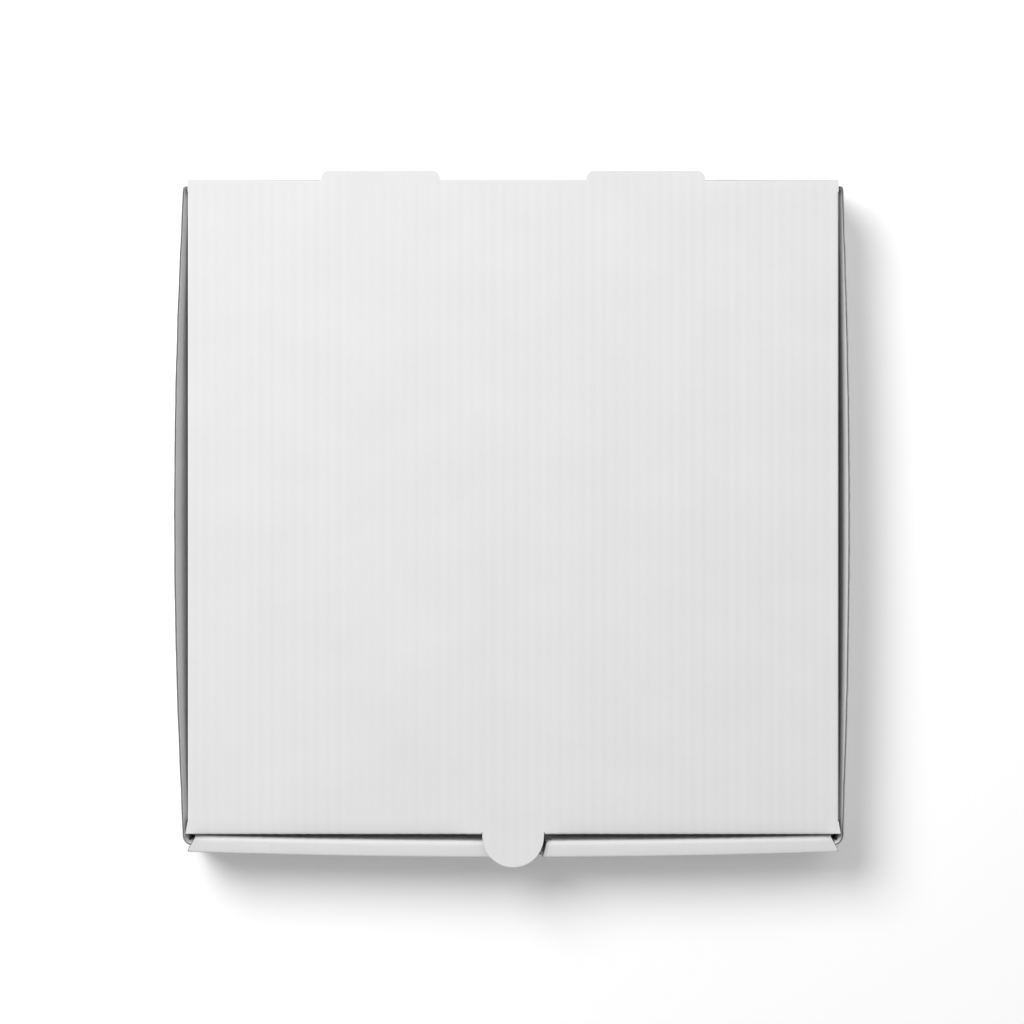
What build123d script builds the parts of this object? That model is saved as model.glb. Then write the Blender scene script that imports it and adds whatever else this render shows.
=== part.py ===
from build123d import *
import os

# Pizza box folded from one die-cut sheet of corrugated board, closed and standing on the floor.
# Millimetres, +Z up, the front with the thumb tab faces -Y, origin under the middle of the outline.

# Board
board = 3.0            # thickness of the board
ply_gap = 0.5          # air between two boards that lie face to face
slit_gap = 0.4         # air at die-cut slits and between the lid and the tray
crushed = 1.4          # thickness of a side wall's top edge, crushed by the cutting die
crush_depth = 5.0      # how far below that edge the crushing begins
crease_radius = 1.2    # outside of a folded crease

# Lid
lid_width = 382.0      # over the two side creases
lid_length = 384.3     # from the back crease to the front crease
box_height = 45.0      # floor to the upper face of the lid
flap_depth = 34.0      # side flaps and tuck flap, below the panel
flap_round = 10.0      # lower corners of those flaps
flap_rake = 8.0        # how far a side flap's ends draw in from crease to lower edge
tuck_lean = 4.0        # degrees the tuck flap leans into the box, so that it swings past the front wall
ear_length = 7.5       # flat corner left between two creases
ear_reach = 1.2        # how far a front corner swings out past the side crease

# Thumb tab, cut out of the tuck flap and left in the plane of the lid
thumb_radius = 18.1
thumb_neck = 1.3       # straight part in front of the crease

# Two tabs cut out of the back wall and left in the plane of the lid
back_tab_reach = 5.1
back_tab_near = 42.9   # from the middle plane
back_tab_far = 112.8
back_tab_round = 4.6

# Tray
side_gap = 0.4         # between a lid side crease and the foot of the side wall
front_gap = 0.9        # between the front crease of the lid and the rolled front wall
left_bow = 5.3         # how far the top of each wall bulges out at mid length
right_bow = 4.1
front_bow = 3.2
corner_radius = 6.5    # bend from a side wall into its front corner flap
corner_flap = 50.0     # length of a corner flap past its bend
strip_taper = 4.0      # how far each end of the front strip is drawn in at its inner crease
strip_round = 2.0      # outside of the strip's outer crease
lip = 0.5              # height of the upright lips under the rolled strip
lock_width = 40.0      # tabs under the inner front wall, held in slots of the base
lock_centre = 95.0

# Finger notch in the rolled front wall, a little off the middle plane
notch_shift = 2.2
notch_outer = 15.4     # half width in the outer wall
notch_waist = 17.0     # half width in the strip, where the inner corner begins to round off
notch_inner = 20.5     # half width in the inner wall
notch_flare = 3.2      # depth of that rounded corner

# Levels and lines that follow from these
half_lid = lid_width / 2
half_flat = half_lid - board
lid_under = box_height - board
wall_top = lid_under - slit_gap
thumb_reach = thumb_neck + thumb_radius
back_y = (back_tab_reach + lid_length + thumb_reach) / 2 - back_tab_reach
front_y = back_y - lid_length
hinge_y = back_y - board / 2
hinge_z = box_height - board / 2
half_base = half_lid + side_gap + board
half_floor = half_base - board
strip_depth = 3 * board + 2 * ply_gap
inner_y = front_y - front_gap
outer_y = inner_y - strip_depth
roll_z = wall_top - board - lip
band_z = board + slit_gap
flap_y = outer_y + board + ply_gap
bend_y = flap_y + corner_radius
flap_end = half_base - corner_radius - corner_flap
flap_push = front_bow * (1 - (flap_end / half_lid) ** 2)
back_flap_y = back_y - board - ply_gap
back_bend_y = back_flap_y - board


def block(x0, x1, y0, y1, z0, z1):
    return Pos((x0 + x1) / 2, (y0 + y1) / 2, (z0 + z1) / 2) * Box(x1 - x0, y1 - y0, z1 - z0)


def across(section, half):
    # a section drawn in Y and Z, carried to both sides of the middle plane
    return extrude(Plane.YZ * section, amount=half, both=True)


def upright(outline, z0, z1):
    return extrude(Pos(0, 0, z0) * make_face(outline), amount=z1 - z0)


def creased(corners):
    # closed outline through the corners, in which the first corner is the rounded outside of a crease
    outline = make_face(Polyline(*corners, close=True))
    corner = outline.vertices().sort_by_distance(Vector(*corners[0]))[0]
    return fillet(corner, crease_radius)


# Lid: panel and tuck flap
lean = Vector(0, 0, -1).rotate(Axis.X, tuck_lean)
down = (lean.Y, lean.Z)
out = (lean.Z, -lean.Y)
crease = (front_y + board, lid_under)


def from_crease(along, outward):
    return (crease[0] + down[0] * along + out[0] * outward, crease[1] + down[1] * along + out[1] * outward)


rise = (box_height - from_crease(0, board)[1]) / down[1]
panel_section = [
    from_crease(rise, board),
    from_crease(flap_depth, board),
    from_crease(flap_depth, 0),
    crease,
    (hinge_y, lid_under),
    (hinge_y, box_height),
]
panel = across(creased(panel_section), half_flat)
tuck_ends = panel.edges().filter_by(lambda e: abs(e.center().X) > half_flat - 0.1)
tuck_low = tuck_ends.filter_by(lambda e: abs(e.center().Z - from_crease(flap_depth, board / 2)[1]) < 0.1)
panel = fillet(tuck_low, flap_round)

# The crease and the flap are cut away round the thumb tab, which runs on in the plane of the panel
hole_half = thumb_radius + slit_gap
hole_centre = lid_under - thumb_neck
hole_line = [
    Line((-hole_half, lid_under), (-hole_half, hole_centre)),
    ThreePointArc((-hole_half, hole_centre), (0, hole_centre - hole_half), (hole_half, hole_centre)),
    Line((hole_half, hole_centre), (hole_half, lid_under)),
    Line((hole_half, lid_under), (-hole_half, lid_under)),
]
panel -= Pos(0, front_y - board, 0) * extrude(Plane.XZ * make_face(hole_line), amount=-4 * board)
slit_end = front_y + crease_radius
panel -= block(-hole_half, hole_half, front_y - board, slit_end, lid_under - board, box_height + board)
thumb_line = [
    Line((-thumb_radius, crease[0]), (-thumb_radius, front_y - thumb_neck)),
    ThreePointArc(
        (-thumb_radius, front_y - thumb_neck), (0, front_y - thumb_reach), (thumb_radius, front_y - thumb_neck)
    ),
    Line((thumb_radius, front_y - thumb_neck), (thumb_radius, crease[0])),
    Line((thumb_radius, crease[0]), (-thumb_radius, crease[0])),
]
thumb_tab = upright(thumb_line, lid_under, box_height)

# Hinge edge: a round bead on the fold line, and the two tabs that reach out past the back wall
bead = [
    Line((back_y - ear_length, lid_under), (hinge_y, lid_under)),
    ThreePointArc((hinge_y, lid_under), (back_y, hinge_z), (hinge_y, box_height)),
    Line((hinge_y, box_height), (back_y - ear_length, box_height)),
    Line((back_y - ear_length, box_height), (back_y - ear_length, lid_under)),
]
lid = panel + thumb_tab + across(make_face(bead), half_lid)
tab_middle = (back_tab_near + back_tab_far) / 2
for side in (-1, 1):
    near = side * tab_middle
    half = (back_tab_far - back_tab_near) / 2
    tab = block(near - half, near + half, hinge_y, back_y + back_tab_reach, lid_under, box_height)
    tips = tab.edges().filter_by(Axis.Z).sort_by(Axis.Y)[-2:]
    lid += fillet(tips, back_tab_round)

# Side flaps, each with its crease, and the two front corners
flap_front = front_y + ear_length
flap_back = back_y - ear_length
for side in (-1, 1):
    fold_line = [
        (side * half_lid, box_height),
        (side * half_lid, lid_under),
        (side * half_flat, lid_under),
        (side * half_flat, box_height),
    ]
    fold = extrude(Plane.XZ * creased(fold_line), amount=-(flap_back - flap_front))
    lid += Pos(0, flap_front, 0) * fold
    flap_line = [
        Line((flap_front, lid_under), (flap_front + flap_rake, lid_under - flap_depth)),
        Line((flap_front + flap_rake, lid_under - flap_depth), (flap_back - flap_rake, lid_under - flap_depth)),
        Line((flap_back - flap_rake, lid_under - flap_depth), (flap_back, lid_under)),
        Line((flap_back, lid_under), (flap_front, lid_under)),
    ]
    flap = extrude(Plane.YZ * make_face(flap_line), amount=side * board)
    low = flap.edges().filter_by(Axis.X).sort_by(Axis.Z)[:2]
    lid += Pos(side * half_flat, 0, 0) * fillet(low, flap_round)
    ear = [
        (side * half_flat, flap_front),
        (side * half_lid, flap_front),
        (side * (half_lid + ear_reach), front_y + slit_gap),
        (side * half_flat, front_y + slit_gap),
    ]
    lid += upright(Polyline(*ear, close=True), lid_under, box_height)

# Tray: base, back wall and the creases round it
base = block(-half_floor, half_floor, outer_y + board, back_y - board, 0, board)
back_line = [(back_y, 0), (back_y - board, 0), (back_y - board, wall_top), (back_y, wall_top)]
tray = base + across(creased(back_line), half_lid)

# Notches in the back wall, where the back tabs swing through
notch_floor = hinge_z - (Vector(back_tab_reach + board / 2, board / 2).length + slit_gap)
for side in (-1, 1):
    half = (back_tab_far - back_tab_near) / 2 + slit_gap
    gate = block(side * tab_middle - half, side * tab_middle + half, back_y - 2 * board, back_y + board,
                 notch_floor, box_height)
    foot = gate.edges().filter_by(Axis.Y).sort_by(Axis.Z)[:2]
    tray -= fillet(foot, back_tab_round + slit_gap)


# Rolled front wall: outer wall, strip and inner wall in one run, bowed along the top
def bowed_line(half, y0, y1, bow):
    if bow == 0:
        ends = [Line((half, y0), (-half, y0)), Line((-half, y1), (half, y1))]
    else:
        ends = [
            ThreePointArc((half, y0), (0, y0 - bow), (-half, y0)),
            ThreePointArc((-half, y1), (0, y1 - bow), (half, y1)),
        ]
    return [ends[0], Line((-half, y0), (-half, y1)), ends[1], Line((half, y1), (half, y0))]


def bowed_wall(y0, y1, z0):
    foot = Pos(0, 0, z0) * make_face(bowed_line(half_lid, y0, y1, 0))
    head = Pos(0, 0, roll_z) * make_face(bowed_line(half_lid, y0, y1, front_bow))
    return loft([foot, head], ruled=True)


front_crease = [(outer_y, 0), (outer_y + board, 0), (outer_y + board, board), (outer_y, board)]
front_wall = across(creased(front_crease), half_lid) + bowed_wall(outer_y, outer_y + board, board)
inner_wall = bowed_wall(inner_y - board, inner_y, band_z)
roll = upright(bowed_line(half_lid, outer_y, inner_y, front_bow), roll_z, wall_top)
for row, radius in ((-1, board), (0, strip_round)):
    rim = roll.edges().filter_by(GeomType.CIRCLE).group_by(Axis.Z)[-1]
    roll = fillet(rim.sort_by(Axis.Y)[row], radius)
roll -= upright(bowed_line(half_lid, outer_y + board, inner_y - board, front_bow), roll_z, wall_top - board)
rolled = inner_wall + roll
for side in (-1, 1):
    trim = [
        (side * half_lid, outer_y + board / 2),
        (side * (half_lid - strip_taper), inner_y - board / 2),
        (side * (half_lid - strip_taper), inner_y + board),
        (side * (half_base + board), inner_y + board),
        (side * (half_base + board), outer_y + board / 2),
    ]
    rolled -= upright(Polyline(*trim, close=True), 0, box_height)
    lock = side * lock_centre
    rolled += block(lock - lock_width / 2, lock + lock_width / 2, inner_y - board, inner_y, slit_gap, band_z)
    slot = lock_width / 2 + slit_gap
    tray -= block(lock - slot, lock + slot, inner_y - board - slit_gap, inner_y + slit_gap, -board, 2 * board)
front_wall += rolled

# Finger notch through the outer wall, the strip and the inner wall
strip_in = inner_y - front_bow
strip_out = outer_y - front_bow
notch_mouth = notch_outer - board * (notch_waist - notch_outer) / (strip_depth - notch_flare)
notch_sides = []
for side in (-1, 1):
    waist = (side * notch_waist, strip_in - notch_flare)
    flare = TangentArc(waist, (side * notch_inner, strip_in), tangent=(0, 1))
    notch_sides += [
        Line((side * notch_mouth, strip_out - board), waist),
        flare,
        Line((side * notch_inner, strip_in), (side * notch_inner, strip_in + board)),
    ]
notch_sides += [
    Line((-notch_mouth, strip_out - board), (notch_mouth, strip_out - board)),
    Line((-notch_inner, strip_in + board), (notch_inner, strip_in + board)),
]
roll_under = wall_top - board
notch = upright(notch_sides, roll_under, box_height)
notch_run = board + front_bow + 2 * ply_gap
outer_middle = outer_y + (board - front_bow) / 2
inner_middle = inner_y - (board + front_bow) / 2
outer_round = Pos(0, outer_middle, roll_under) * Rot(90, 0, 0) * Cylinder(notch_outer, notch_run)
inner_round = Pos(0, inner_middle, roll_under) * Rot(90, 0, 0) * Cylinder(notch_inner, notch_run)
below = block(-notch_inner, notch_inner, strip_out - board, inner_y + board, 0, roll_under)
notch += (outer_round + inner_round) & below
tray += front_wall - Pos(notch_shift, 0, 0) * notch


# Side walls: each is one band with its two corner flaps, bowed along the top and crushed at the top edge
def band_line(rise, bow, thick):
    inner_x = half_base - thick
    flap_x = flap_end + corner_flap
    free_y = flap_y - rise * flap_push
    back_x = half_floor - corner_flap
    back_in = back_flap_y - thick
    if rise == 0:
        outside = Line((half_base, bend_y), (half_base, back_bend_y))
        inside = Line((inner_x, back_in), (inner_x, bend_y))
    else:
        bulge = rise * bow
        middle = (bend_y + back_bend_y) / 2
        outside = ThreePointArc((half_base, bend_y), (half_base + bulge, middle), (half_base, back_bend_y))
        inside = ThreePointArc((inner_x, back_in), (inner_x + bulge, middle), (inner_x, bend_y))
    return [
        Line((flap_end, free_y), (flap_x, flap_y)),
        RadiusArc((flap_x, flap_y), (half_base, bend_y), -corner_radius),
        outside,
        RadiusArc((half_base, back_bend_y), (half_floor, back_flap_y), -board),
        Line((half_floor, back_flap_y), (back_x, back_flap_y)),
        Line((back_x, back_flap_y), (back_x, back_in)),
        Line((back_x, back_in), (inner_x, back_in)),
        inside,
        RadiusArc((inner_x, bend_y), (flap_x, flap_y + thick), corner_radius - thick),
        Line((flap_x, flap_y + thick), (flap_end, free_y + thick)),
        Line((flap_end, free_y + thick), (flap_end, free_y)),
    ]


side_crease = [(half_base, 0), (half_floor, 0), (half_floor, band_z), (half_base, band_z)]
crush_z = wall_top - crush_depth
crush_rise = (crush_z - band_z) / (wall_top - band_z)
under_strip = [
    (0, flap_y - 2 * board),
    (half_lid + slit_gap, outer_y + board / 2),
    (half_lid - strip_taper + slit_gap, inner_y - board / 2),
    (half_lid - strip_taper + slit_gap, bend_y),
    (0, bend_y),
]
for side, bow in ((1, right_bow), (-1, left_bow)):
    foot = Pos(0, 0, band_z) * make_face(band_line(0, bow, board))
    waist = Pos(0, 0, crush_z) * make_face(band_line(crush_rise, bow, board))
    head = Pos(0, 0, wall_top) * make_face(band_line(1, bow, crushed))
    band = loft([foot, waist, head], ruled=True)
    band -= upright(Polyline(*under_strip, close=True), wall_top - board - ply_gap, box_height)
    edge = extrude(Plane.XZ * creased(side_crease), amount=-(back_bend_y - bend_y))
    wall = band + Pos(0, bend_y, 0) * edge
    tray += wall if side > 0 else mirror(wall, about=Plane.YZ)

os.makedirs("parts", exist_ok=True)
export_step(tray, "parts/tray.step")
export_step(lid, "parts/lid.step")
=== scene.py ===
import bmesh
import bpy
import math
import numpy as np
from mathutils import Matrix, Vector
from mathutils import noise as unevenness


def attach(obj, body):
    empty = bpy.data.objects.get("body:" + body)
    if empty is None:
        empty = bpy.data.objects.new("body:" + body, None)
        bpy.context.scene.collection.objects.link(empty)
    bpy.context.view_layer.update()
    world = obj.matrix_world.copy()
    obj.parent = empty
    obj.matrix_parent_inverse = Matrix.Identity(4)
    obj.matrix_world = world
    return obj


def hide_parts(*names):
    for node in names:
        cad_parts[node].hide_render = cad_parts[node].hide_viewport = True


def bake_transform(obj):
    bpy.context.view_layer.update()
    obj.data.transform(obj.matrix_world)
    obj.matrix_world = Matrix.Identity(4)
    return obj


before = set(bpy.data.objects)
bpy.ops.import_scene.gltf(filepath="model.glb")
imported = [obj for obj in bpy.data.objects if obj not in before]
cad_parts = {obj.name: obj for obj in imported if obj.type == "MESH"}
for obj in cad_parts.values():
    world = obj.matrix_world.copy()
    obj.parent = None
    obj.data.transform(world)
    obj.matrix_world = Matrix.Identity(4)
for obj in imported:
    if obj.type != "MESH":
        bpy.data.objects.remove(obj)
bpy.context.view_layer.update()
mm = 0.001
print("frame loaded")

# the folded sheet in millimetres: the part's own sizes, and how its board is made up
sheet = {
    "thick": 3.0,
    "paper": 0.36,        # one paper face, seen at a cut edge
    "pitch": 6.5,         # flute to flute
    "halfFlutes": 29,     # from the middle to the side
    "well": 1.7,          # how far the core stands back where a cut crosses the flutes
    "crushed": 0.9,       # the same along a crushed edge
    "relief": 0.08,       # how far the paper sinks between two flutes
    "merge": 0.05,        # corners nearer than this are made one
    "crease": 1.2,        # radius outside a fold
    "halfFlat": 187.95,   # a hair inside the lid's side flaps
    "halfLid": 191.0,
    "halfFloor": 191.4,
    "lidUnder": 42.0,
    "lidTop": 45.0,
    "wallTop": 41.6,
    "bandFoot": 3.4,
    "frontY": -185.0,
    "creaseY": -182.0,
    "backY": 199.3,
    "outerY": -195.9,
    "innerY": -185.9,
    "hingeY": 197.8,
    "hingeZ": 43.5,
    "frontBow": 3.2,      # bulge of the rolled front wall at the middle
    "halfNeck": 18.5,     # of the gap round the thumb tab
    "tabNear": 42.9,      # back tabs, from the middle
    "tabFar": 112.8,
    "flapFront": -177.5,  # ends of the lid's side flaps
    "flapBack": 191.8,
    "cornerEnd": 141.4,   # free end of a back corner flap
}

# degrees above which an edge stays sharp
sharpTurns = {"board": 38, "flutes": 50, "hinge": 60}


def newGroup(name, inputs, outputs):
    group = bpy.data.node_groups.new(name, "ShaderNodeTree")
    for label, kind, value in inputs:
        socket = group.interface.new_socket(label, in_out="INPUT", socket_type=kind)
        socket.default_value = value
    for label, kind in outputs:
        group.interface.new_socket(label, in_out="OUTPUT", socket_type=kind)
    return group, group.nodes.new("NodeGroupInput"), group.nodes.new("NodeGroupOutput")


def paperFibre():
    # felted fibres: fine specks, longer hairs laid one way, and a slow cloudiness
    group, given, result = newGroup(
        "paperFibre",
        [
            ("Vector", "NodeSocketVector", (0, 0, 0)),
            ("Fibre Scale", "NodeSocketFloat", 2600.0),
            ("Cloud Scale", "NodeSocketFloat", 26.0),
            ("Light", "NodeSocketColor", (0.8, 0.8, 0.8, 1)),
            ("Dark", "NodeSocketColor", (0.7, 0.7, 0.7, 1)),
        ],
        [
            ("Color", "NodeSocketColor"),
            ("Height", "NodeSocketFloat"),
            ("Roughness", "NodeSocketFloat"),
        ],
    )
    nodes, links = group.nodes, group.links
    stretch = nodes.new("ShaderNodeMapping")
    stretch.inputs["Scale"].default_value = (1.0, 0.28, 1.0)
    links.new(given.outputs["Vector"], stretch.inputs["Vector"])
    hairs = nodes.new("ShaderNodeTexNoise")
    hairs.inputs["Detail"].default_value = 3.0
    hairs.inputs["Roughness"].default_value = 0.6
    links.new(stretch.outputs["Vector"], hairs.inputs["Vector"])
    links.new(given.outputs["Fibre Scale"], hairs.inputs["Scale"])
    clouds = nodes.new("ShaderNodeTexNoise")
    clouds.inputs["Detail"].default_value = 4.0
    links.new(given.outputs["Vector"], clouds.inputs["Vector"])
    links.new(given.outputs["Cloud Scale"], clouds.inputs["Scale"])
    both = nodes.new("ShaderNodeMath")
    both.operation = "MULTIPLY_ADD"
    both.inputs[1].default_value = 0.45
    links.new(hairs.outputs["Fac"], both.inputs[0])
    half = nodes.new("ShaderNodeMath")
    half.operation = "MULTIPLY"
    half.inputs[1].default_value = 0.55
    links.new(clouds.outputs["Fac"], half.inputs[0])
    links.new(half.outputs[0], both.inputs[2])
    spread = nodes.new("ShaderNodeMapRange")
    spread.inputs["From Min"].default_value = 0.36
    spread.inputs["From Max"].default_value = 0.64
    links.new(both.outputs[0], spread.inputs["Value"])
    tone = nodes.new("ShaderNodeMix")
    tone.data_type = "RGBA"
    links.new(spread.outputs["Result"], tone.inputs["Factor"])
    links.new(given.outputs["Dark"], tone.inputs[6])
    links.new(given.outputs["Light"], tone.inputs[7])
    links.new(tone.outputs[2], result.inputs["Color"])
    links.new(hairs.outputs["Fac"], result.inputs["Height"])
    rough = nodes.new("ShaderNodeMapRange")
    rough.inputs["To Min"].default_value = 0.78
    rough.inputs["To Max"].default_value = 0.62
    links.new(both.outputs[0], rough.inputs["Value"])
    links.new(rough.outputs["Result"], result.inputs["Roughness"])
    return group


fibreGroup = paperFibre()

papers = {
    "whiteFace": {
        "light": (0.72, 0.72, 0.72), "dark": (0.69, 0.69, 0.69),
        "fibre": 2400.0, "cloud": 24.0, "bump": 0.12,
    },
    "cutPaper": {
        "light": (0.53, 0.525, 0.515), "dark": (0.36, 0.355, 0.345),
        "fibre": 5200.0, "cloud": 240.0, "bump": 0.25,
    },
    # the core's own grey, toned darker than it is so that it also paints the shade in the sunk
    # wells and the flute ribbons
    "flutedPaperAndShade": {
        "light": (0.42, 0.41, 0.395), "dark": (0.30, 0.29, 0.28),
        "fibre": 3200.0, "cloud": 160.0, "bump": 0.4,
    },
}
fibreDepth = 0.00012


def makePaper(name, look):
    material = bpy.data.materials.new(name)
    material.use_nodes = True
    nodes, links = material.node_tree.nodes, material.node_tree.links
    shader = nodes["Principled BSDF"]
    shader.inputs["Specular IOR Level"].default_value = 0.35
    place = nodes.new("ShaderNodeTexCoord")
    fibre = nodes.new("ShaderNodeGroup")
    fibre.node_tree = fibreGroup
    fibre.inputs["Fibre Scale"].default_value = look["fibre"]
    fibre.inputs["Cloud Scale"].default_value = look["cloud"]
    fibre.inputs["Light"].default_value = (*look["light"], 1)
    fibre.inputs["Dark"].default_value = (*look["dark"], 1)
    bump = nodes.new("ShaderNodeBump")
    bump.inputs["Strength"].default_value = look["bump"]
    bump.inputs["Distance"].default_value = fibreDepth
    links.new(place.outputs["Object"], fibre.inputs["Vector"])
    links.new(fibre.outputs["Color"], shader.inputs["Base Color"])
    links.new(fibre.outputs["Roughness"], shader.inputs["Roughness"])
    links.new(fibre.outputs["Height"], bump.inputs["Height"])
    links.new(bump.outputs["Normal"], shader.inputs["Normal"])
    return material


whiteFace = makePaper("whiteFace", papers["whiteFace"])
cutPaper = makePaper("cutPaper", papers["cutPaper"])
flutedPaperAndShade = makePaper("flutedPaperAndShade", papers["flutedPaperAndShade"])
print("papers mixed")


def addObject(name, data):
    made = bpy.data.objects.new(name, data)
    bpy.context.scene.collection.objects.link(made)
    return made


def boardCopy(node, isPaper, seams=()):
    # a copy of a folded solid, to be worked up into corrugated board
    bm = bmesh.new()
    bm.from_mesh(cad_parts[node].data)
    bmesh.ops.remove_doubles(bm, verts=bm.verts, dist=1e-6)
    for y in seams:  # where paper and a cut edge lie in one plane
        parts = bm.verts[:] + bm.edges[:] + bm.faces[:]
        bmesh.ops.bisect_plane(
            bm, geom=parts, dist=1e-7, plane_co=(0, y * mm, 0), plane_no=(0, 1, 0)
        )
    bm.normal_update()
    for face in bm.faces:  # paper faces, and cut edges that show the core
        face.material_index = 0 if isPaper(face.calc_center_median() / mm, face.normal) else 1
    bmesh.ops.dissolve_limit(
        bm, angle_limit=0.0004, verts=bm.verts, edges=bm.edges, delimit={"MATERIAL"}
    )
    return bm


def paperNormals(bm):
    normals = {}
    for face in bm.faces:
        if face.material_index == 0:
            push = face.normal * face.calc_area()
            for vert in face.verts:
                normals[vert] = normals.get(vert, Vector((0, 0, 0))) + push
    return {vert: push.normalized() for vert, push in normals.items() if push.length > 0}


def innerRing(bm, faces):
    # lays a ring of faces just inside the border of a set of faces,
    # and pairs its corners with the border's
    laid = bmesh.ops.inset_region(bm, faces=faces, thickness=1e-6, depth=0, use_boundary=True)
    ring = laid["faces"]
    inside = {vert for face in faces for vert in face.verts}
    pairs = {}
    for face in ring:
        face.material_index = 1
        for edge in face.edges:
            first, second = edge.verts
            if (first in inside) != (second in inside):
                inner, outer = (first, second) if first in inside else (second, first)
                pairs[inner] = outer
    return ring, pairs


def openCutEdges(bm, wellDepth):
    # two paper faces show at a cut edge,
    # and where it crosses the flutes the core stands back between them
    cut = [face for face in bm.faces if face.material_index == 1]
    depths = {face: wellDepth(face.calc_center_median() / mm, face.normal) for face in cut}
    pairs = innerRing(bm, cut)[1]
    bm.normal_update()
    normals = paperNormals(bm)
    for inner, outer in pairs.items():
        if outer in normals:
            inner.co = outer.co - normals[outer] * sheet["paper"] * mm
    bm.normal_update()
    for depth in sorted(set(depths.values()) - {0.0}):
        deep = [face for face in cut if depths[face] == depth]
        walls = innerRing(bm, deep)[0]
        pushes = {}
        for face in deep:
            for vert in face.verts:
                pushes[vert] = pushes.get(vert, Vector((0, 0, 0))) + face.normal * face.calc_area()
        for vert, push in pushes.items():
            vert.co -= push.normalized() * depth * mm
        # the sunk core takes the core paper, whose darker tone is painted shade as well as its own
        # grey
        for face in deep + walls:
            face.material_index = 2


def withCorners(faces):
    parts = set(faces)
    for face in faces:
        parts.update(face.edges)
        parts.update(face.verts)
    return list(parts)


def cutAcross(bm, faces, axis, places):
    # cuts a set of faces at many parallel planes, halving the set each time
    if not places or not faces:
        return
    middle = len(places) // 2
    normal = Vector((0, 0, 0))
    normal[axis] = 1
    done = bmesh.ops.bisect_plane(
        bm, geom=withCorners(faces), dist=1e-7, plane_co=normal * places[middle], plane_no=normal
    )
    pieces = [part for part in done["geom"] if isinstance(part, bmesh.types.BMFace)]
    low = [face for face in pieces if face.calc_center_median()[axis] < places[middle]]
    lowSet = set(low)
    high = [face for face in pieces if face not in lowSet]
    cutAcross(bm, low, axis, places[:middle])
    cutAcross(bm, high, axis, places[middle + 1:])


def spaced(start, end, step):
    count = max(1, round((end - start) / step))
    return [(start + (end - start) * i / count) * mm for i in range(count + 1)]


def fluteColumns(step):
    # even cuts across all the flutes, from side to side
    reach = sheet["halfFlutes"] * sheet["pitch"] - step
    return spaced(-reach, reach, step)


def roundFold(bm, axis, centre, signs, radius=sheet["crease"], steps=5):
    # gives the outside of a fold more facets and puts them on its true round
    others = [i for i in range(3) if i != axis]
    centre = [value * mm for value in centre]
    radius *= mm

    def polar(point):
        u = (point[others[0]] - centre[0]) * signs[0]
        v = (point[others[1]] - centre[1]) * signs[1]
        return math.hypot(u, v), math.degrees(math.atan2(v, u))

    def near(face):
        reach, angle = polar(face.calc_center_median())
        return reach < radius * 1.03 and -5 < angle < 95

    origin = Vector((0, 0, 0))
    origin[others[0]], origin[others[1]] = centre
    for i in range(1, steps):
        turn = math.radians(90 * i / steps)
        normal = Vector((0, 0, 0))
        normal[others[0]] = -math.sin(turn) * signs[0]
        normal[others[1]] = math.cos(turn) * signs[1]
        geom = withCorners([face for face in bm.faces if near(face)])
        bmesh.ops.bisect_plane(bm, geom=geom, dist=1e-7, plane_co=origin, plane_no=normal)
    for vert in bm.verts:
        reach, angle = polar(vert.co)
        if radius * 0.88 < reach < radius * 1.03 and -5 < angle < 95:
            for i in (0, 1):
                offset = (vert.co[others[i]] - centre[i]) * radius / reach
                vert.co[others[i]] = centre[i] + offset


def crisp(u, v, half, corner):
    # moves a point of a quarter circle of radius half out onto a square with a small round
    reach = math.hypot(u, v)
    u, v = u / reach, v / reach
    inner = half - corner
    if min(u, v) < max(u, v) * inner / half:
        wanted = half / max(u, v)
    else:
        along = inner * (u + v)
        wanted = along + math.sqrt(along ** 2 - 2 * inner ** 2 + corner ** 2)
    scale = wanted * reach / half
    return u * scale, v * scale


def trueCircle(bm, axes, centre, radius, within):
    # puts the corners of a round cut onto its circle
    for vert in bm.verts:
        u, v = (vert.co[axis] / mm - middle for axis, middle in zip(axes, centre))
        reach = math.hypot(u, v)
        if abs(reach - radius) < 0.16 and within(vert.co / mm):
            for axis, middle, offset in zip(axes, centre, (u, v)):
                vert.co[axis] = (middle + offset * radius / reach) * mm


luckCount = 400
fluteLuck = np.random.default_rng(7).uniform(0.55, 1.45, luckCount)


def washboard(across):
    # the paper sinks a little between flutes, by a different amount at each
    turn = across / sheet["pitch"]
    luck = fluteLuck[int(turn + luckCount // 2) % luckCount]
    return -sheet["relief"] * luck * (0.5 - 0.5 * math.cos(2 * math.pi * turn))


def finishBoard(bm, name, body, node):
    bmesh.ops.triangulate(bm, faces=[face for face in bm.faces if len(face.verts) > 4])
    alike = {}
    for face in bm.faces:
        alike.setdefault(frozenset(face.verts), []).append(face)
    doubled = [face for faces in alike.values() if len(faces) > 1 for face in faces]
    bmesh.ops.delete(bm, geom=doubled, context="FACES")  # pairs folded flat on each other
    bm.normal_update()
    bend = math.radians(sharpTurns["board"])
    for face in bm.faces:
        face.smooth = True
    for edge in bm.edges:  # creases stay sharp, and so does the border of each paper
        first, second = edge.link_faces[0], edge.link_faces[-1]
        samePaper = first.material_index == second.material_index
        edge.smooth = samePaper and edge.calc_face_angle(0.0) < bend
    mesh = bpy.data.meshes.new(name)
    bm.to_mesh(mesh)
    bm.free()
    for paper in (whiteFace, cutPaper, flutedPaperAndShade):
        mesh.materials.append(paper)
    piece = addObject(name, mesh)
    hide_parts(node)
    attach(piece, body)
    return piece


def ease(value):
    value = min(1.0, max(0.0, value))
    return value * value * (3 - 2 * value)


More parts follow.
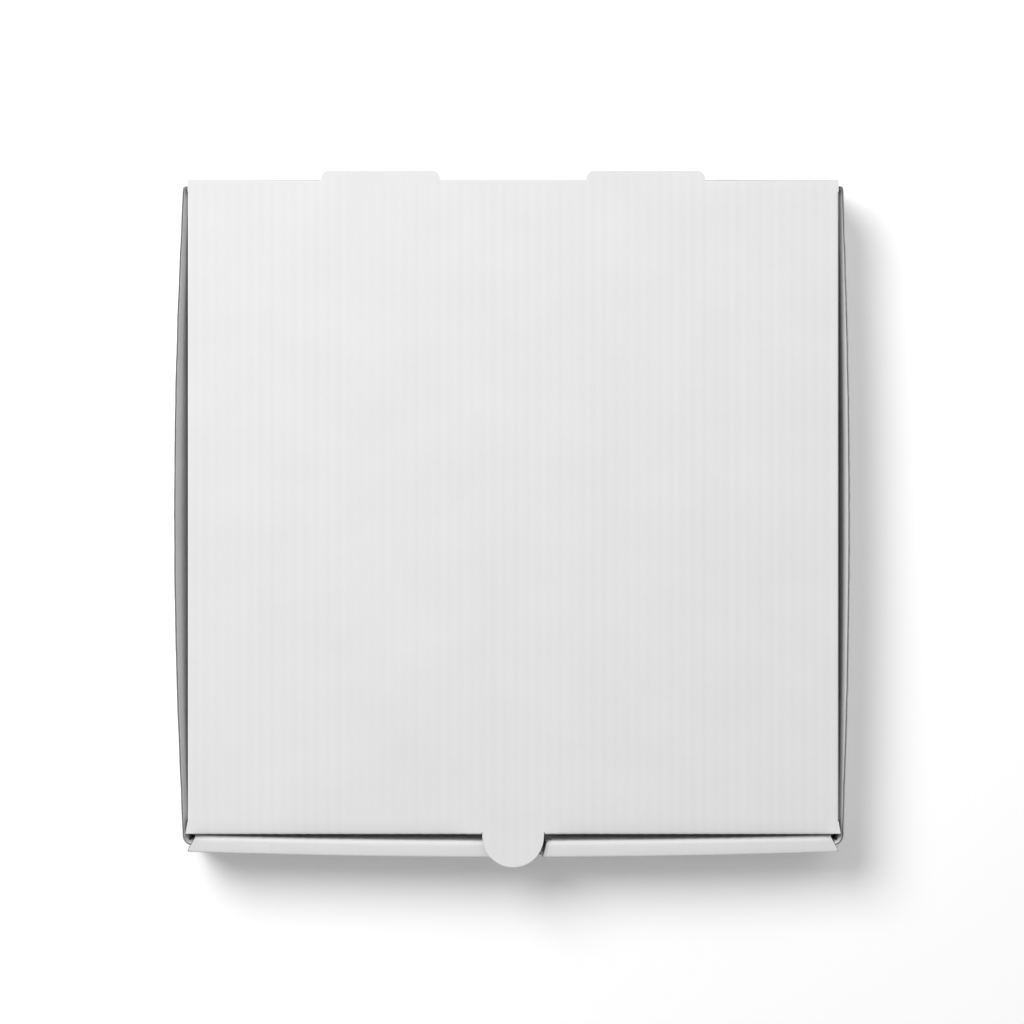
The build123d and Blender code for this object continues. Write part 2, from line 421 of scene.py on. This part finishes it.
lidLook = {
    "facets": 6,             # across one flute
    "rollOff": 0.8,          # how far the panel dips before its front crease
    "rollLength": 14.0,
    "hingeRound": 0.6,       # outside of the fold at the hinge
    "frontRound": -183.93,   # centre of the front crease's round
    "frontRows": (-183.2, -182.2, -181, -179.5, -177.8, -175.5, -172.5, -168),
    "rows": range(-160, 171, 22),
    "flapRows": (8.2, 41.8),
    "foldRun": 4.7,          # paper round the crease of a side flap
    "tuckSpan": (-185.6, -178),
    "thumbNeck": 1.3,
    "thumbRadius": 18.04,    # a hair inside the solid
    "thumbCore": (-186.3, 18.1),  # its fluted rim: centre and radius
    "sway": 0.10,            # slow unevenness of the panel
    "swayLength": 70.0,
}


def lidPaper(point, normal):
    x, y, z = abs(point.x), point.y, point.z
    overTab = sheet["tabNear"] - 0.1 < x < sheet["tabFar"] + 0.1
    if y > sheet["hingeY"] - 0.05 and not overTab:  # the fold at the hinge
        return abs(normal.x) < 0.5
    if abs(normal.z) > 0.9:
        return z > sheet["lidUnder"] - 0.1
    if x > sheet["halfFlat"]:  # side flaps and their creases
        between = sheet["flapFront"] + 0.1 < y < sheet["flapBack"]
        return abs(normal.y) < 0.1 and between and (abs(normal.x) > 0.95 or normal.z > 0.05)
    near, far = lidLook["tuckSpan"]
    upright = abs(normal.y) > 0.9 or (normal.z > 0.05 and z > sheet["lidUnder"] + 1)
    return upright and abs(normal.x) < 0.1 and near < y < far


def lidWell(point, normal):
    onFlap = abs(point.x) > sheet["halfFlat"] and point.z < sheet["lidUnder"]
    crossed = abs(normal.y) > 0.5 if onFlap else abs(normal.x) < 0.8
    return sheet["well"] if crossed else 0.0


def squareHinge(bm):
    # draws the round edge at the hinge out into a crisp fold,
    # as far as it clears the back wall when it turns
    half = sheet["thick"] / 2
    for vert in bm.verts:
        x, y, z = vert.co / mm
        u, v = y - sheet["hingeY"], z - sheet["hingeZ"]
        onTab = sheet["tabNear"] < abs(x) < sheet["tabFar"]
        if u > 0.001 and v > 0.001 and math.hypot(u, v) < half * 1.02 and not onTab:
            u, v = crisp(u, v, half, lidLook["hingeRound"])
            vert.co = Vector((x, sheet["hingeY"] + u, sheet["hingeZ"] + v)) * mm


def panelFaces(bm):
    # the lid between its side flaps
    limit = sheet["halfFlat"] * mm
    return [face for face in bm.faces if abs(face.calc_center_median().x) < limit]


def makeLid():
    bm = boardCopy("lid", lidPaper, (sheet["flapBack"],))
    openCutEdges(bm, lidWell)
    roundFold(bm, 0, (sheet["hingeY"], sheet["hingeZ"]), (1, 1), sheet["thick"] / 2, 10)
    squareHinge(bm)
    inset = sheet["crease"]
    roundFold(bm, 0, (lidLook["frontRound"], sheet["lidTop"] - inset), (-1, 1))
    for side in (-1, 1):
        roundFold(bm, 1, (side * (sheet["halfLid"] - inset), sheet["lidTop"] - inset), (side, 1))
    step = sheet["pitch"] / lidLook["facets"]
    cutAcross(bm, panelFaces(bm), 0, fluteColumns(step))
    rows = [*lidLook["frontRows"], *lidLook["rows"]]
    cutAcross(bm, panelFaces(bm), 1, [row * mm for row in rows])
    neck, under = sheet["frontY"] - lidLook["thumbNeck"], sheet["lidUnder"] - 0.1
    trueCircle(
        bm, (0, 1), (0, neck), lidLook["thumbRadius"], lambda p: p.y < neck + 0.01 and p.z > under
    )
    tab = [vert for vert in bm.verts if vert.co.y < neck * mm and vert.co.z > under * mm]
    bmesh.ops.remove_doubles(bm, verts=tab, dist=sheet["merge"] * mm)
    bm.normal_update()
    limit = sheet["halfFlat"] * mm
    sides = [face for face in bm.faces if abs(face.calc_center_median().x) > limit]
    cutAcross(bm, sides, 2, spaced(*lidLook["flapRows"], step))
    bm.normal_update()
    normals = paperNormals(bm)
    moves = {}
    for vert in bm.verts:
        x, y, z = vert.co / mm
        move = Vector((0, 0, 0))
        if vert in normals:
            across = x
            if abs(x) >= sheet["halfFlat"]:  # measured on round the crease and down the flap
                across = sheet["halfFlat"] + lidLook["foldRun"] + sheet["lidUnder"] - z
            onTop = z > sheet["lidTop"] - 0.01 and abs(x) < sheet["halfFlat"]
            move = (Vector((0, 0, 1)) if onTop else normals[vert]) * washboard(across)
        level = ease((z - 32) / 10)  # fades out down the flaps
        run = (y - sheet["frontY"] - 0.6) / lidLook["rollLength"]
        dip = (1 - min(1.0, max(0.0, run))) ** 4 * ease((abs(x) - sheet["halfNeck"]) / 22)
        dip *= ease((sheet["halfFlat"] + 1 - abs(x)) / 8)
        inside = ease((sheet["halfFlat"] - abs(x)) / 30)  # no sway at the panel's edges
        inside = inside * ease((y + 170) / 30) * ease((185 - y) / 30)
        wave = unevenness.noise(Vector((x, y, 3.7)) / lidLook["swayLength"])
        move.z -= level * (lidLook["rollOff"] * dip + lidLook["sway"] * (0.5 + 0.5 * wave) * inside)
        moves[vert] = move
    for vert, move in moves.items():
        vert.co += move * mm
        vert.co.z = min(vert.co.z, sheet["lidTop"] * mm)
    return finishBoard(bm, "lidBoard", "lid", "lid")


lidBoard = makeLid()
print("lid board", len(lidBoard.data.polygons))


trayLook = {
    "facets": 4,                   # across one flute
    "innerFold": (38.6, 3.0),      # of the strip: where it starts, and its radius
    "outerFold": (39.6, 2.0),
    "innerRows": (0, 15, 30, 45, 60, 75),  # the turns that get a row, in degrees
    "outerRows": (0, 16, 31, 38, 45, 52, 59, 75),
    "ridge": -191.0,               # between the two folds
    "stripCrease": 0.8,            # the outer fold's radius here
    "stripLow": 38.3,              # below the folds
    "stripPaper": (26, 186),       # free of the finger notch and the strip's ends
    "slant": (-194.4, 7, 4),       # of the strip's ends: from where, how long, how deep
    "crown": 1.0,                  # how far the strip slopes down to the front
    "backFlaps": (180, 196.2),     # y from and to
    "bandX": 192,                  # the side walls lie beyond
    "bandRows": (4.4, 40.6),
    "notchX": 2.2,
    "notchZ": 38.6,
    "notches": ((15.4, -200, -193), (20.5, -192.5, -185)),  # radius, and y from and to
    "ragged": 0.32,                # unevenness of the side walls' crushed edges
    "raggedSpan": (-170, 180, 2.2),
}


def onBand(point):
    # side walls and corner flaps, up to the slanted ends of the front strip
    x, y, z = abs(point.x), point.y, point.z
    start, run, depth = trayLook["slant"]
    stripEnd = sheet["halfLid"] - depth * min(1.0, max(0.0, (y - start) / run))
    if x > sheet["halfLid"] + 0.1 or (z > 38.2 and x > stripEnd + 0.2):
        return True
    near, far = trayLook["backFlaps"]
    return near < y < far


def trayPaper(point, normal):
    x, y, z = abs(point.x), point.y, point.z
    if z < sheet["bandFoot"] - 0.1:  # base and the creases round it
        flat = abs(normal.z) > 0.9 or normal.z < -0.05
        return flat or (abs(normal.x) > 0.9 and x > 194) or y > 196 or y < -195.5
    if y > trayLook["backFlaps"][1]:  # back wall, up to the fold at the hinge
        return abs(normal.y) > 0.9 or z > sheet["wallTop"] - 0.1
    if onBand(point):
        freeEnd = x < sheet["cornerEnd"] + 0.6 and abs(normal.x) > 0.9
        # cut back to clear the strip's end
        underStrip = y < -180 and normal.y < -0.3 and normal.x * point.x < 0
        return abs(normal.z) < 0.5 and not freeEnd and not underStrip
    high = z > trayLook["stripLow"] and y < sheet["frontY"]
    near, far = trayLook["stripPaper"]
    if high and near < x < far:
        return True
    if abs(normal.z) > 0.3:
        return high
    return abs(normal.y) > 0.85


def bandFaces(bm):
    # the two side walls with their corner flaps: all that hangs together above the base
    foot, side = (sheet["bandFoot"] - 0.005) * mm, trayLook["bandX"] * mm
    todo = [
        face for face in bm.faces
        if abs(face.calc_center_median().x) > side and face.calc_center_median().z > foot
    ]
    found = set(todo)
    while todo:
        face = todo.pop()
        for edge in face.edges:
            for other in edge.link_faces:
                if other not in found and other.calc_center_median().z > foot:
                    found.add(other)
                    todo.append(other)
    return found


def trayWell(point, normal):
    x, y, z = abs(point.x), point.y, point.z
    if onBand(point):
        if normal.z > 0.5:
            return sheet["crushed"]
        freeEnd = x < sheet["cornerEnd"] + 0.6 and abs(normal.x) > 0.9
        return sheet["well"] if freeEnd else 0.0
    if abs(normal.x) > 0.8 or (z > trayLook["stripLow"] and y < sheet["frontY"]):
        return 0.0
    return sheet["crushed"] if y < sheet["frontY"] else sheet["well"]


def bulge(x):
    # how far the rolled front wall stands out at x, an arc from corner to corner
    half, depth = sheet["halfLid"], sheet["frontBow"]
    radius = (half * half + depth * depth) / (2 * depth)
    return math.sqrt(radius * radius - x * x) - radius + depth


def onStrip(face):
    middle = face.calc_center_median() / mm
    if face.material_index != 0 or middle.y >= sheet["frontY"]:
        return False
    return middle.z > trayLook["innerFold"][0] and not onBand(middle)


def stripLevels(fold, turns):
    low, radius = fold
    return [(low + radius * math.sin(math.radians(turn))) * mm for turn in turns]


def rowStrip(bm):
    # even rows along the strip's two folds
    inner, outer = [], []
    for face in bm.faces:
        if onStrip(face):
            middle = face.calc_center_median() / mm
            (inner if middle.y + bulge(middle.x) > trayLook["ridge"] else outer).append(face)
    cutAcross(bm, inner, 2, stripLevels(trayLook["innerFold"], trayLook["innerRows"]))
    cutAcross(bm, outer, 2, stripLevels(trayLook["outerFold"], trayLook["outerRows"]))


def gridStrip(bm, step):
    # the lines that came with the solid go, so that only the even rows and columns are left
    levels = stripLevels(trayLook["innerFold"], (*trayLook["innerRows"], 90))
    levels += stripLevels(trayLook["outerFold"], trayLook["outerRows"])
    loose = []
    for edge in bm.edges:
        if len(edge.link_faces) == 2 and all(onStrip(face) for face in edge.link_faces):
            first, second = (vert.co for vert in edge.verts)
            place = first.x / mm / step
            column = abs(first.x - second.x) < 1e-6 and abs(place - round(place)) < 0.001
            away = min(abs(first.z - level) for level in levels)
            row = abs(first.z - second.z) < 1e-6 and away < 1e-6
            if not row and not column:
                loose.append(edge)
    bmesh.ops.dissolve_edges(bm, edges=loose, use_verts=True)
    found = {vert for face in bm.faces if onStrip(face) for vert in face.verts}
    ordered = [vert for vert in bm.verts if vert in found]
    bmesh.ops.remove_doubles(bm, verts=ordered, dist=sheet["merge"] * mm)


def smoothRoll(bm):
    # the strip and both walls under it go onto their true curves, and the strip slopes to the front
    walls = (
        (sheet["innerY"], 1, *trayLook["innerFold"]),
        (sheet["outerY"], -1, *trayLook["outerFold"]),
    )
    onPaper = {vert for face in bm.faces if face.material_index == 0 for vert in face.verts}
    for vert in bm.verts:
        x, y, z = vert.co / mm
        if y > sheet["frontY"] or onBand(vert.co / mm):
            continue
        out = bulge(x)
        for face, side, low, radius in walls:
            u, v = (y + out - face) * side + radius, z - low
            reach = math.hypot(u, v)
            if min(u, v) > -0.01 and reach > 0.1:
                if vert in onPaper:
                    u = math.sqrt(max(0.0, radius ** 2 - v ** 2))
                if side < 0:
                    u, v = crisp(max(u, 0.0), max(v, 0.0), radius, trayLook["stripCrease"])
                y = face + side * (u - radius) - out
                z = low + v
            elif v < 0 and z > 4 and vert in onPaper:  # the wall leans out from its foot
                lean = min(1.0, (z - sheet["thick"]) / 35.1)
                if abs(y + out * lean - face) < 0.8:
                    y = face - out * lean
        run = min(1.0, max(0.0, (sheet["innerY"] - y - out) / 10))
        z -= trayLook["crown"] * run * run * ease((z - 38.7) / 2.9)
        vert.co = Vector((x, y, z)) * mm


def raggedEdges(bm):
    # the crushed top edges of the side walls wander in and down a little
    low, side = 40 * mm, 192.5 * mm
    band = [
        face for face in bandFaces(bm)
        if face.calc_center_median().z > low and abs(face.calc_center_median().x) > side
    ]
    cutAcross(bm, band, 1, spaced(*trayLook["raggedSpan"]))
    for vert in {vert for face in bandFaces(bm) for vert in face.verts}:
        x, y, z = vert.co / mm
        top = ease((z - 39.8) / 1.6) * ease((abs(x) - trayLook["bandX"]) / 1.5)
        top = top * ease((175 - abs(y - 5)) / 12)  # none near the corners
        slow = unevenness.noise(Vector((y / 16, x / 60, 1.3)))
        quick = unevenness.noise(Vector((y / 5, x / 60, 8.1)))
        wander = trayLook["ragged"] * top * (0.5 + 0.35 * slow + 0.3 * quick)
        vert.co.x -= math.copysign(wander, x) * mm
        vert.co.z -= 0.5 * wander * mm


def makeTray():
    bm = boardCopy("tray", trayPaper)
    openCutEdges(bm, trayWell)
    inset = sheet["crease"]
    for side in (-1, 1):
        roundFold(bm, 1, (side * (sheet["halfFloor"] + sheet["thick"] - inset), inset), (side, -1))
    roundFold(bm, 0, (sheet["outerY"] + inset, inset), (-1, -1))
    roundFold(bm, 0, (sheet["backY"] - inset, inset), (1, -1))
    step = sheet["pitch"] / trayLook["facets"]
    cutAcross(bm, list(bandFaces(bm)), 2, spaced(*trayLook["bandRows"], step))
    band = bandFaces(bm)
    rest = [face for face in bm.faces if face not in band]
    cutAcross(bm, rest, 0, fluteColumns(step))
    rowStrip(bm)
    gridStrip(bm, step)
    smoothRoll(bm)
    centre, top = (trayLook["notchX"], trayLook["notchZ"]), trayLook["notchZ"] + 0.01
    for radius, low, high in trayLook["notches"]:
        trueCircle(bm, (0, 2), centre, radius, lambda p: low < p.y < high and p.z < top)
    bandVerts = {vert for face in bandFaces(bm) for vert in face.verts}
    bm.normal_update()
    normals = paperNormals(bm)
    for vert, push in normals.items():
        place = vert.co / mm
        vert.co += push * washboard(place.z if vert in bandVerts else place.x) * mm
    raggedEdges(bm)
    return finishBoard(bm, "trayBoard", "tray", "tray")


trayBoard = makeTray()
print("tray board", len(trayBoard.data.polygons))


# fluted paper, seen where the board is cut across its flutes; its paper is toned darker than its
# own grey, as painted shade
fluteLook = {
    "wave": 1.0,        # half the height of the wave
    "ribbon": 1.6,      # how far the ribbon runs in
    "paper": 0.24,
    "setBack": 0.12,    # from the cut edge
    "step": 0.5,
    "halfTuck": 178,    # straight foot of the tuck flap, from the middle
    "tuckRound": 10,    # its corners
    "tabEnd": 204.4,    # back tabs
    "tabRound": 4.6,
    "flapX": 189.5,     # middle of a side flap's board
    "flapRound": 10,
    "notchEnds": (42.5, 113.2),  # of the back wall
    "notchFloor": 36.33,
    "notchRound": 5,
}


def fluteTree():
    # a path along the cut edge is waved across the board, then drawn in along the flutes
    tree = bpy.data.node_groups.new("fluteRibbon", "GeometryNodeTree")
    tree.is_modifier = True
    tree.interface.new_socket("Path", in_out="INPUT", socket_type="NodeSocketGeometry")
    for name in ("Pitch", "Wave", "Run"):
        tree.interface.new_socket(name, in_out="INPUT", socket_type="NodeSocketFloat")
    tree.interface.new_socket("Paper", in_out="INPUT", socket_type="NodeSocketMaterial")
    tree.interface.new_socket("Ribbon", in_out="OUTPUT", socket_type="NodeSocketGeometry")
    nodes, links = tree.nodes, tree.links
    given, result = nodes.new("NodeGroupInput"), nodes.new("NodeGroupOutput")

    def named(name, kind):
        node = nodes.new("GeometryNodeInputNamedAttribute")
        node.data_type = kind
        node.inputs["Name"].default_value = name
        return node.outputs["Attribute"]

    def calc(operation, first, second):
        node = nodes.new("ShaderNodeMath")
        node.operation = operation
        for socket, value in zip(node.inputs, (first, second)):
            if isinstance(value, (int, float)):
                socket.default_value = value
            elif value is not None:
                links.new(value, socket)
        return node.outputs[0]

    def scaled(vector, amount):
        node = nodes.new("ShaderNodeVectorMath")
        node.operation = "SCALE"
        links.new(vector, node.inputs[0])
        links.new(amount, node.inputs["Scale"])
        return node.outputs[0]

    flutes = calc("DIVIDE", named("across", "FLOAT"), given.outputs["Pitch"])
    turn = calc("MULTIPLY", flutes, 2 * math.pi)
    lift = calc("MULTIPLY", calc("SINE", turn, None), given.outputs["Wave"])
    wave = nodes.new("GeometryNodeSetPosition")
    links.new(given.outputs["Path"], wave.inputs["Geometry"])
    links.new(scaled(named("through", "FLOAT_VECTOR"), lift), wave.inputs["Offset"])
    draw = nodes.new("GeometryNodeExtrudeMesh")
    draw.mode = "EDGES"
    draw.inputs["Offset Scale"].default_value = 1.0
    links.new(wave.outputs["Geometry"], draw.inputs["Mesh"])
    links.new(scaled(named("inward", "FLOAT_VECTOR"), given.outputs["Run"]), draw.inputs["Offset"])
    whole = nodes.new("GeometryNodeRealizeInstances")
    links.new(draw.outputs["Mesh"], whole.inputs["Geometry"])
    dress = nodes.new("GeometryNodeSetMaterial")
    links.new(whole.outputs["Geometry"], dress.inputs["Geometry"])
    links.new(given.outputs["Paper"], dress.inputs["Material"])
    links.new(dress.outputs["Geometry"], result.inputs["Ribbon"])
    return tree


ribbonTree = fluteTree()


def line(first, second):
    first, second = Vector(first), Vector(second)
    count = max(2, round((second - first).length / fluteLook["step"]))
    return [first.lerp(second, i / count) for i in range(count + 1)]


def arc(centre, first, second, start, end):
    # part of a circle given by its centre and two half axes, with angles in degrees
    centre, first, second = Vector(centre), Vector(first), Vector(second)
    count = max(2, round(abs(math.radians(end - start)) * first.length / fluteLook["step"]))
    turns = [math.radians(start + (end - start) * i / count) for i in range(count + 1)]
    return [centre + first * math.cos(turn) + second * math.sin(turn) for turn in turns]


def outward(mesh, turn):
    # faces its normals out and smooths all but the sharp edges
    work = bmesh.new()
    work.from_mesh(mesh)
    bmesh.ops.recalc_face_normals(work, faces=work.faces)
    work.to_mesh(mesh)
    work.free()
    mesh.shade_smooth()
    mesh.set_sharp_from_angle(angle=math.radians(turn))


def fluteRows(name, body, rows):
    # each row is a path, the direction through the board,
    # the direction of the flutes, and the axis across them
    points, edges, across, through, inward = [], [], [], [], []
    for path, thickness, flutes, axis in rows:
        start = len(points)
        flutes = Vector(flutes).normalized()
        for point in path:
            points.append((point + flutes * fluteLook["setBack"]) * mm)
            across.append(point[axis])
            through.append(Vector(thickness).normalized())
            inward.append(flutes)
        edges += [(i, i + 1) for i in range(start, len(points) - 1)]
    mesh = bpy.data.meshes.new(name)
    mesh.from_pydata(points, edges, [])
    mesh.attributes.new("across", "FLOAT", "POINT").data.foreach_set("value", across)
    for label, values in (("through", through), ("inward", inward)):
        flat = [part for value in values for part in value]
        mesh.attributes.new(label, "FLOAT_VECTOR", "POINT").data.foreach_set("vector", flat)
    maker = addObject(name + "Maker", mesh)
    ribbon = maker.modifiers.new("ribbon", "NODES")
    ribbon.node_group = ribbonTree
    items = ribbonTree.interface.items_tree
    sockets = {item.name: item.identifier for item in items if item.in_out == "INPUT"}
    ribbon[sockets["Pitch"]] = sheet["pitch"]
    ribbon[sockets["Wave"]] = fluteLook["wave"] * mm
    ribbon[sockets["Run"]] = fluteLook["ribbon"] * mm
    # the ribbons take the core paper, whose darker tone is painted shade as well as its own grey
    ribbon[sockets["Paper"]] = flutedPaperAndShade
    solid = maker.modifiers.new("paper", "SOLIDIFY")
    solid.thickness = fluteLook["paper"] * mm
    solid.offset = 0
    ready = maker.evaluated_get(bpy.context.evaluated_depsgraph_get())
    made = bpy.data.meshes.new_from_object(ready)
    made.name = name
    maker.modifiers.clear()
    bpy.data.objects.remove(maker)
    for label in ("across", "through", "inward"):
        if label in made.attributes:
            made.attributes.remove(made.attributes[label])
    outward(made, sharpTurns["flutes"])
    piece = addObject(name, made)
    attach(piece, body)
    return piece


def lidRows():
    x, y, z = Vector((1, 0, 0)), Vector((0, 1, 0)), Vector((0, 0, 1))
    level = sheet["hingeZ"]  # the middle of the lid's board
    lean, half = math.radians(4), sheet["thick"] / 2
    down = Vector((0, math.sin(lean), -math.cos(lean)))
    out = Vector((0, -math.cos(lean), -math.sin(lean)))
    crease = Vector((0, sheet["creaseY"], sheet["lidUnder"])) + out * half
    foot = crease + down * 34
    bend = crease + down * 24
    reach, corner = x * fluteLook["halfTuck"], fluteLook["tuckRound"]
    neck = sheet["halfNeck"]
    thumbY, thumb = lidLook["thumbCore"]
    rows = [
        (line(foot - reach, foot + reach), out, -down, 0),
        (arc(bend + reach, down * corner, x * corner, 2, 80), out, -down, 0),
        (arc(bend - reach, down * corner, -x * corner, 2, 80), out, -down, 0),
        (arc(crease + down * 1.2, x * neck, down * neck, 8, 172), out, down, 0),
        (arc((0, thumbY, level), x * thumb, -y * thumb, 3, 177), z, y, 0),
    ]
    end, corner = fluteLook["tabEnd"], fluteLook["tabRound"]
    for side in (-1, 1):
        near = side * sheet["tabNear"] + side * corner
        far = side * sheet["tabFar"] - side * corner
        rows += [
            (line((near, end, level), (far, end, level)), z, -y, 0),
            (arc((near, end - corner, level), y * corner, x * -side * corner, 3, 85), z, -y, 0),
            (arc((far, end - corner, level), y * corner, x * side * corner, 3, 85), z, -y, 0),
            (line((side * 188.3, -184.6, level), (side * 191.9, -184.6, level)), z, y, 0),
        ]
        flapX, flapRound = side * fluteLook["flapX"], fluteLook["flapRound"]
        for flapEnd, toward in ((sheet["flapFront"], 1), (sheet["flapBack"], -1)):
            high = Vector((flapX, flapEnd, sheet["lidUnder"]))
            low = Vector((flapX, flapEnd + toward * 6.2, 15.7))
            turn = Vector((flapX, flapEnd + toward * 15.9, 18.0))
            rows += [
                (line(high, low), x, y * toward, 2),
                (arc(turn, y * -toward * flapRound, z * -flapRound, 14, 80), x, y * toward, 2),
            ]
    return rows


def trayRows():
    x, y, z = Vector((1, 0, 0)), Vector((0, 1, 0)), Vector((0, 0, 1))
    rows = []
    half = sheet["thick"] / 2
    middle, flapY, end = sheet["backY"] - half, 194.3, sheet["cornerEnd"]
    floor, corner = fluteLook["notchFloor"], fluteLook["notchRound"]
    up = floor + corner
    for side in (-1, 1):
        first, last = fluteLook["notchEnds"]
        near, far = side * first + side * corner, side * last - side * corner
        rows += [
            (line((near, middle, floor), (far, middle, floor)), y, -z, 0),
            (arc((near, middle, up), z * -corner, x * -side * corner, 3, 80), y, -z, 0),
            (arc((far, middle, up), z * -corner, x * side * corner, 3, 80), y, -z, 0),
            (line((side * end, flapY, 4.0), (side * end, flapY, 36.0)), y, x * side, 2),
        ]
    lean = sheet["frontBow"] / 35.0
    down = Vector((0, lean, -1))
    feet = (sheet["outerY"] + half, sheet["innerY"] - half)
    for (radius, *_), foot in zip(trayLook["notches"], feet):
        centre = (trayLook["notchX"], foot - lean * 35.4, trayLook["notchZ"] - 0.1)
        rows.append((arc(centre, x * radius, down * radius, 4, 176), y, down, 0))
    return rows


lidFlutes = fluteRows("lidFlutes", "lid", lidRows())
trayFlutes = fluteRows("trayFlutes", "tray", trayRows())
print("flutes", len(lidFlutes.data.polygons), len(trayFlutes.data.polygons))


hingeLook = {
    "stand": 0.05,         # the skin stands this far off the board
    "sunk": -0.04,         # and ends just under its surface
    "skin": 0.03,
    "spans": ((-190.9, -113.3), (-42.4, 42.4), (113.3, 190.9)),
}


def hingeSkin(name, path):
    # a strip of the board's own paper that runs on across the hinge, from the back wall to the lid;
    # path has y and z along the strip, each with the direction away from the board
    verts, faces = [], []
    rows = len(path)
    for low, high in hingeLook["spans"]:
        columns = spaced(low, high, sheet["pitch"] / trayLook["facets"])
        first = len(verts)
        for x in columns:
            for depth in (0.0, hingeLook["skin"]):
                for i, (y, z, outY, outZ) in enumerate(path):
                    stand = hingeLook["sunk"] if i in (0, rows - 1) else hingeLook["stand"]
                    stand += washboard(x / mm) - depth
                    verts.append((x, (y + outY * stand) * mm, (z + outZ * stand) * mm))
        ring = list(range(rows)) + [rows + i for i in reversed(range(rows))]
        for column in range(len(columns) - 1):
            here, there = first + column * 2 * rows, first + (column + 1) * 2 * rows
            for i, j in zip(ring, ring[1:] + ring[:1]):
                faces.append((here + i, there + i, there + j, here + j))
        last = first + (len(columns) - 1) * 2 * rows
        for i in range(rows - 1):
            faces.append((first + i, first + i + 1, first + rows + i + 1, first + rows + i))
            faces.append((last + i, last + rows + i, last + rows + i + 1, last + i + 1))
    mesh = bpy.data.meshes.new(name)
    mesh.from_pydata(verts, [], faces)
    outward(mesh, sharpTurns["hinge"])
    mesh.materials.append(whiteFace)
    piece = addObject(name, mesh)
    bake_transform(piece)
    return piece


def outerPath():
    back, corner = sheet["backY"], lidLook["hingeRound"]
    path = [(back, 38.0 + 0.4 * i, 1, 0) for i in range(17)]
    for turn in range(10, 61, 10):
        c, s = math.cos(math.radians(turn)), math.sin(math.radians(turn))
        path.append((back - corner + corner * c, sheet["lidTop"] - corner + corner * s, c, s))
    return path


def innerPath():
    face, under = sheet["backY"] - sheet["thick"], sheet["lidUnder"]
    path = [(face, 37.0 + 0.5 * i, -1, 0) for i in range(10)]
    path += [(face - 0.15 * i, under - 0.3 + 0.03 * i, -0.7, -0.7) for i in range(1, 9)]
    path += [(face - 1.2 - 0.6 * i, under, 0, -1) for i in range(1, 7)]
    return path


hingeOutside = hingeSkin("hingeOutside", outerPath())
hingeInside = hingeSkin("hingeInside", innerPath())
print("hinge paper", len(hingeOutside.data.polygons), len(hingeInside.data.polygons))


stageLook = {
    "floor": 0.99,
    "floorGlow": 0.03,
    "floorHalf": 4,
    "floorLow": -0.0002,          # just under the box
    "lamps": {                    # place, breadth and power
        "key": ((-1.19, 1.21, 1.94), 1.65, 59.0),
        "fill": ((1.3, 1.3, 1.73), 3.07, 14.4),
    },
    "sky": 0.364,
    "skySeen": (0.93, 0.93, 0.93, 1),
    "lens": 100.0,
    "sensor": 36.0,
    "view": (-0.00065, 0.0041),   # point under the middle of the picture
    "width": 0.6008,              # breadth of the picture at lid height
}


def makeStage():
    mesh = bpy.data.meshes.new("floor")
    low, half = stageLook["floorLow"], stageLook["floorHalf"]
    corners = [(-half, -half, low), (half, -half, low), (half, half, low), (-half, half, low)]
    mesh.from_pydata(corners, [], [(0, 1, 2, 3)])
    floor = addObject("floor", mesh)
    material = bpy.data.materials.new("floorWhite")
    material.use_nodes = True
    shader = material.node_tree.nodes["Principled BSDF"]
    shader.inputs["Base Color"].default_value = (stageLook["floor"],) * 3 + (1,)
    shader.inputs["Roughness"].default_value = 0.8
    shader.inputs["Specular IOR Level"].default_value = 0.1
    shader.inputs["Emission Color"].default_value = (1, 1, 1, 1)
    shader.inputs["Emission Strength"].default_value = stageLook["floorGlow"]
    mesh.materials.append(material)
    for name, (place, breadth, power) in stageLook["lamps"].items():
        light = bpy.data.lights.new(name, "AREA")
        light.shape = "DISK"
        light.size = breadth
        light.energy = power
        lamp = addObject(name, light)
        lamp.location = place
        lamp.rotation_euler = (-Vector(place)).to_track_quat("-Z", "Y").to_euler()
    world = bpy.data.worlds.new("studio")
    bpy.context.scene.world = world
    world.use_nodes = True
    nodes, links = world.node_tree.nodes, world.node_tree.links
    sky = nodes["Background"]
    sky.inputs["Color"].default_value = (1, 1, 1, 1)
    sky.inputs["Strength"].default_value = stageLook["sky"]
    seen = nodes.new("ShaderNodeBackground")
    seen.inputs["Color"].default_value = stageLook["skySeen"]
    mix = nodes.new("ShaderNodeMixShader")
    path = nodes.new("ShaderNodeLightPath")
    links.new(path.outputs["Is Camera Ray"], mix.inputs[0])
    links.new(sky.outputs[0], mix.inputs[1])
    links.new(seen.outputs[0], mix.inputs[2])
    links.new(mix.outputs[0], nodes["World Output"].inputs["Surface"])
    lens = bpy.data.cameras.new("camera")
    lens.lens = stageLook["lens"]
    lens.sensor_width = stageLook["sensor"]
    camera = addObject("camera", lens)
    away = stageLook["width"] * stageLook["lens"] / stageLook["sensor"]
    camera.location = (*stageLook["view"], sheet["lidTop"] * mm + away)
    bpy.context.scene.camera = camera
    bpy.context.scene.view_settings.view_transform = "Standard"


makeStage()
print("stage set")
